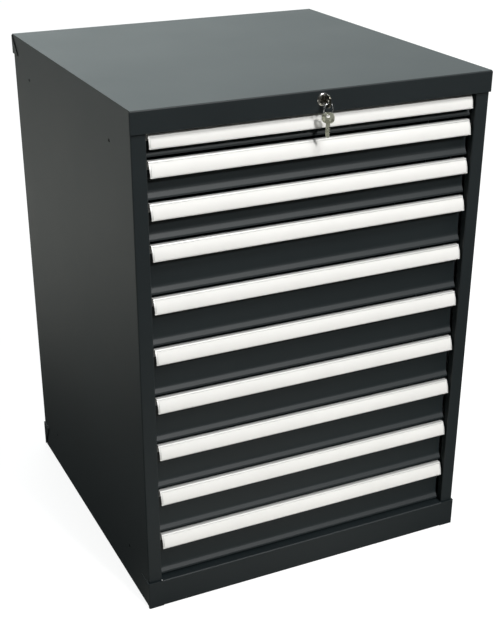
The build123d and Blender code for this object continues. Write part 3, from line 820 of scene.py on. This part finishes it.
def flat_shape(name, outlines, thickness, rounding, place, material, body, replaced=()):
    """Plate cut to flat outlines, holes included, with softened edges."""
    curve = bpy.data.curves.new(name + "_outline", "CURVE")
    curve.dimensions = "2D"
    curve.fill_mode = "BOTH"
    curve.extrude = (thickness / 2 - rounding) * MM
    curve.bevel_depth = rounding * MM
    curve.bevel_resolution = 1
    curve.offset = -rounding * MM
    for outline in outlines:
        spline = curve.splines.new("POLY")
        spline.points.add(len(outline) - 1)
        for point, (x, y) in zip(spline.points, outline):
            point.co = (x * MM, y * MM, 0.0, 1.0)
        spline.use_cyclic_u = True
    drawn = bpy.data.objects.new(name + "_outline", curve)
    bpy.context.scene.collection.objects.link(drawn)
    bpy.context.view_layer.update()
    evaluated = drawn.evaluated_get(bpy.context.evaluated_depsgraph_get())
    mesh = bpy.data.meshes.new_from_object(evaluated)
    bpy.data.objects.remove(drawn)
    mesh.transform(place)
    bm = bmesh.new()
    bm.from_mesh(mesh)
    bmesh.ops.remove_doubles(bm, verts=bm.verts, dist=0.00001)
    finished(name, bm, material, body, replaced)


def hole_points(radius, count=40):
    """Circle round the origin, turning the way a hole in a plate has to."""
    points = []
    for step in range(count):
        angle = -2 * pi * step / count
        points.append((radius * cos(angle), radius * sin(angle)))
    return points


def bow_outline(tail, end, half, bend):
    """Rounded outline of a key's bow, or of a line of the rim on it."""
    corners = [(tail, -half), (end, -half), (end, half), (tail, half)]
    return [(point.x, point.y) for point in rounded_path(corners, bend, closed=True, steps=9)]


def make_key_pieces(name, place, body, metal):
    """Key lying along X: bow with its hole, raised rim, neck and a grooved, cut blade."""
    bow_end = 12.5
    blade_start = bow_end + 5.0
    blade_length = 21.5
    blade_end = blade_start + blade_length
    half = 3.75

    def add_part(part, outlines, thickness, rounding, replaced=()):
        flat_shape(name + part, outlines, thickness, rounding, place, metal, body, replaced)

    add_part("_bow", [bow_outline(-6.5, bow_end, 11.25, 8.0), hole_points(3.3)], key_plate, 0.22, [body])
    neck = bow_end - 1.2
    teeth = [(neck, half), (blade_end - half, half), (blade_end - 0.4, 0.5), (blade_end - 0.4, -0.5)]
    pitch = (blade_length - half) / 4
    for tooth, depth in zip(range(4, 0, -1), (1.2, 1.8, 0.9, 1.6)):
        x = blade_start + tooth * pitch
        cut = -half + depth
        teeth += [(x, -half), (x - pitch * 0.35, cut), (x - pitch * 0.6, cut)]
    teeth += [(blade_start, -half), (neck, -half)]
    add_part("_blade", [teeth], 1.1, 0.1)
    rib_start = bow_end - 1.0
    back_rib = [
        (rib_start, half), (blade_end - half, half), (blade_end - half + 1.2, half - 1.2),
        (blade_end - 3, 0.9), (rib_start, 0.9),
    ]
    cut_rib = [(rib_start, -0.5), (blade_end - 2.0, -0.5)]
    cut_rib += [(x, y) for x, y in teeth[3:] if x < blade_end - 2.0]
    add_part("_back_rib", [back_rib], key_plate, 0.1)
    add_part("_cut_rib", [cut_rib], key_plate - 0.1, 0.1)
    # Raised rim round the bow
    rim_outer = bow_outline(-5.9, bow_end - 0.6, 10.6, 7.5)
    rim_inner = bow_outline(-5.0, bow_end - 1.5, 9.7, 6.8)
    add_part("_bow_rim", [rim_outer, rim_inner[::-1]], key_plate + 0.3, 0.12)


def plate_placement(origin, x_direction, normal):
    """Matrix that lays a flat plate at the origin with the given directions."""
    x_axis = Vector(x_direction).normalized()
    z_axis = Vector(normal).normalized()
    y_axis = z_axis.cross(x_axis)
    turned = Matrix((x_axis, y_axis, z_axis)).transposed().to_4x4()
    return Matrix.Translation(Vector(origin) * MM) @ turned


def make_split_ring():
    """Two turns of flat wire, side by side, swept along a shallow helix."""
    across = Vector((cos(ring_yaw), sin(ring_yaw), 0))
    axis = Vector((-sin(ring_yaw), cos(ring_yaw), 0))
    up = Vector((0, 0, 1))
    centre = Vector((0, key_hole_y, ring_top - ring_radius))
    turns = 1.98
    count = 150
    half_radial = 0.52
    half_axial = 0.48
    half_step = 0.56
    end_slope = 12.0
    flat = 0.55
    section = [
        (-1, -flat), (-flat, -1), (flat, -1), (1, -flat),
        (1, flat), (flat, 1), (-flat, 1), (-1, flat),
    ]
    bm = bmesh.new()
    rings = []
    for step in range(count + 1):
        share = step / count
        angle = 2 * pi * turns * share + pi * 0.2
        out = across * cos(angle) + up * sin(angle)
        lift = max(-half_step, min(half_step, (share - 0.5) * end_slope * half_step))
        taper = min(1.0, 0.55 + end_slope * min(share, 1 - share))
        middle = centre + out * ring_radius + axis * lift
        corners = []
        for radial, axial in section:
            offset = out * (radial * half_radial) + axis * (axial * half_axial * taper)
            corners.append(bm.verts.new((middle + offset) * MM))
        rings.append(corners)
    for first, second in zip(rings, rings[1:]):
        for index in range(len(section)):
            following = (index + 1) % len(section)
            bm.faces.new((first[index], first[following], second[following], second[index]))
    bm.faces.new(rings[0])
    bm.faces.new(rings[-1])
    finished("split_ring_wire", bm, ring_steel, "split_ring", ["split_ring"], sharp=50.0)


make_lock_housing()
# The key in the lock takes the darker copy of the key metal: painted shade
make_key_pieces(
    "lock_key",
    plate_placement((0, key_hole_y, lock_height), (0, 1, 0), (1, 0, 0)),
    "key",
    shaded_key_silver,
)
spare_turn = radians(-35)
spare_normal = (-sin(spare_turn), cos(spare_turn), 0)
make_key_pieces(
    "hanging_key",
    plate_placement((0, key_hole_y, ring_bottom - 2.1), (0, 0, -1), spare_normal),
    "spare_key",
    key_silver,
)
make_split_ring()


# ---------------------------------------------------------------- fasteners at the back

def make_back_rivets():
    """A row of rivet heads down each side of the back panel."""
    head = [(0.0, 356.9), (1.3, 356.8), (2.4, 356.4), (3.0, 356.0), (3.0, 355.6)]
    bm = bmesh.new()
    for x in (-rivet_x, rivet_x):
        for level in range(8):
            add_turned(bm, head, (x, 110.0 + level * 115.0), 20)
    finished("back_panel_rivets", bm, anthracite, "cabinet")


make_back_rivets()


# ---------------------------------------------------------------- floor, light and camera

def make_floor():
    """White to the camera; to light and reflections a dark floor with painted pools of light and painted
    shade, standing in for how the floor around the cabinet is lit and shaded.
    """
    bm = bmesh.new()
    bmesh.ops.create_grid(bm, x_segments=1, y_segments=1, size=30.0)
    mesh = bpy.data.meshes.new("studio_floor")
    bm.to_mesh(mesh)
    bm.free()
    floor = bpy.data.objects.new("studio_floor", mesh)
    bpy.context.scene.collection.objects.link(floor)
    material = bpy.data.materials.new("pale_floor")
    material.use_nodes = True
    tree = material.node_tree
    tree.nodes.clear()
    seen = add_node(tree, "ShaderNodeLightPath")
    where = add_node(tree, "ShaderNodeTexCoord")
    # Dark base tone that reflections and bounce light see: painted shade, lifted only where pools of
    # light are painted
    tone = 0.03
    # Painted pools of light on the dark floor, seen only in reflections and bounce light: centre,
    # stretch, radius of full strength, radius where it ends, brightness
    painted_light_pools = (
        ((-1.7, 2.4, 0.0), (1.0, 1.0, 1.0), 0.7, 2.3, 0.90),
        ((-0.04, -0.66, 0.0), (0.9, 1.0, 1.0), 0.15, 0.60, 0.46),
        ((0.10, -1.05, 0.0), (0.8, 1.0, 1.0), 0.30, 1.10, 0.12),
        ((-3.1, -1.4, 0.0), (1.0, 1.0, 1.0), 1.3, 2.2, 0.60),
        ((3.2, -0.1, 0.0), (1.0, 1.0, 1.0), 1.3, 2.2, 0.60),
    )
    for centre, stretch, near, far, lift in painted_light_pools:
        spot = add_node(
            tree, "ShaderNodeVectorMath", {0: where.outputs["Object"], 1: centre}, operation="SUBTRACT"
        )
        spread = add_node(
            tree, "ShaderNodeVectorMath", {0: spot.outputs[0], 1: stretch}, operation="MULTIPLY"
        )
        away = add_node(tree, "ShaderNodeVectorMath", {0: spread.outputs[0]}, operation="LENGTH")
        patch = add_node(
            tree, "ShaderNodeMapRange",
            {
                "Value": away.outputs["Value"], "From Min": near, "From Max": far,
                "To Min": lift, "To Max": 0.0,
            },
            interpolation_type="SMOOTHSTEP",
        )
        total = add_node(tree, "ShaderNodeMath", {0: tone, 1: patch.outputs["Result"]}, operation="ADD")
        tone = total.outputs[0]
    # Warm tint on this painted floor light and shade
    warm = add_node(
        tree, "ShaderNodeVectorMath", {0: tone, 1: (1.0, 0.965, 0.90)}, operation="MULTIPLY"
    )
    colour = add_node(tree, "ShaderNodeMix", data_type="RGBA")
    tree.links.new(seen.outputs["Is Camera Ray"], colour.inputs[0])
    tree.links.new(warm.outputs[0], colour.inputs[6])
    colour.inputs[7].default_value = (0.85, 0.85, 0.85, 1.0)
    lit = add_node(tree, "ShaderNodeBsdfDiffuse", {"Color": colour.outputs[2]})
    glow = add_node(tree, "ShaderNodeEmission", {"Color": (1.0, 1.0, 1.0, 1.0), "Strength": 1.20})
    share = add_node(
        tree, "ShaderNodeMath", {0: seen.outputs["Is Camera Ray"], 1: 0.70}, operation="MULTIPLY"
    )
    both = add_node(tree, "ShaderNodeMixShader")
    tree.links.new(share.outputs[0], both.inputs[0])
    tree.links.new(lit.outputs[0], both.inputs[1])
    tree.links.new(glow.outputs[0], both.inputs[2])
    out = add_node(tree, "ShaderNodeOutputMaterial")
    tree.links.new(both.outputs[0], out.inputs["Surface"])
    mesh.materials.append(material)


def make_world():
    """White to the camera; lights from the back, fading to the front and the sides."""
    world = bpy.data.worlds.new("white_studio")
    bpy.context.scene.world = world
    world.use_nodes = True
    tree = world.node_tree
    tree.nodes.clear()
    where = add_node(tree, "ShaderNodeTexCoord")
    axes = add_node(tree, "ShaderNodeSeparateXYZ", {"Vector": where.outputs["Generated"]})
    back = add_node(
        tree, "ShaderNodeMapRange",
        {"Value": axes.outputs["Y"], "From Min": -0.1, "From Max": 0.75, "To Min": 0.04, "To Max": 1.82},
        interpolation_type="SMOOTHSTEP",
    )
    right = add_node(
        tree, "ShaderNodeMapRange",
        {"Value": axes.outputs["X"], "From Min": 0.12, "From Max": 0.56, "To Min": 1.42, "To Max": 0.70},
    )
    left = add_node(
        tree, "ShaderNodeMapRange",
        {"Value": axes.outputs["X"], "From Min": -0.75, "From Max": 0.0, "To Min": 0.58, "To Max": 1.0},
    )
    sides = add_node(
        tree, "ShaderNodeMath",
        {0: right.outputs["Result"], 1: left.outputs["Result"]},
        operation="MULTIPLY",
    )
    graded = add_node(
        tree, "ShaderNodeMath", {0: back.outputs["Result"], 1: sides.outputs[0]}, operation="MULTIPLY"
    )
    seen = add_node(tree, "ShaderNodeLightPath")
    strength = add_node(
        tree, "ShaderNodeMix",
        {"Factor": seen.outputs["Is Camera Ray"], "A": graded.outputs[0], "B": 1.0},
    )
    hue = add_node(tree, "ShaderNodeMix", data_type="RGBA")
    tree.links.new(left.outputs["Result"], hue.inputs[0])
    hue.inputs[6].default_value = (1.10, 1.0, 0.93, 1.0)
    hue.inputs[7].default_value = (0.90, 1.0, 0.995, 1.0)
    tint = add_node(tree, "ShaderNodeMix", data_type="RGBA")
    tree.links.new(seen.outputs["Is Camera Ray"], tint.inputs[0])
    tree.links.new(hue.outputs[2], tint.inputs[6])
    tint.inputs[7].default_value = (1.0, 1.0, 1.0, 1.0)
    light = add_node(
        tree, "ShaderNodeBackground",
        {"Color": tint.outputs[2], "Strength": strength.outputs["Result"]},
    )
    out = add_node(tree, "ShaderNodeOutputWorld")
    tree.links.new(light.outputs[0], out.inputs["Surface"])


def add_softbox(name, place, target, size, power):
    """Rectangular area lamp that faces the target."""
    lamp = bpy.data.lights.new(name, "AREA")
    lamp.shape = "RECTANGLE"
    lamp.size = size[0]
    lamp.size_y = size[1]
    lamp.energy = power
    holder = bpy.data.objects.new(name, lamp)
    bpy.context.scene.collection.objects.link(holder)
    holder.location = place
    direction = Vector(target) - Vector(place)
    holder.rotation_euler = direction.to_track_quat("-Z", "Y").to_euler()


def make_camera():
    """The view of a 504 x 620 picture; focal length and picture centre in its pixels."""
    picture_height = 620.0
    camera = bpy.data.cameras.new("photo_view")
    camera.sensor_fit = "VERTICAL"
    camera.sensor_height = 24.0
    camera.lens = 1165.72 / picture_height * camera.sensor_height
    camera.shift_x = (252.0 - 241.24) / picture_height
    camera.shift_y = (349.92 - 310.0) / picture_height
    camera.clip_end = 100.0
    holder = bpy.data.objects.new("photo_view", camera)
    bpy.context.scene.collection.objects.link(holder)
    holder.location = (-0.98084, -2.11882, 1.47703)
    holder.rotation_euler = (radians(90.0 - 25.952), 0.0, radians(-25.10))
    bpy.context.scene.camera = holder


make_floor()
make_world()
add_softbox("key_softbox", (1.86, -9.10, 7.10), (0.0, -0.36, 0.5), (1.0, 1.0), 660.0)
add_softbox("overhead_softbox", (0.5, -2.6, 4.4), (0.0, -0.36, 0.6), (1.5, 1.1), 100.0)
add_softbox("left_fill", (-3.6, 1.1, 2.0), (-0.36, 0.0, 0.7), (1.6, 1.2), 13.0)
add_softbox("right_fill", (3.6, -0.2, 1.4), (0.36, 0.0, 0.5), (1.6, 1.2), 34.0)
make_camera()
bpy.context.scene.view_settings.view_transform = "Standard"
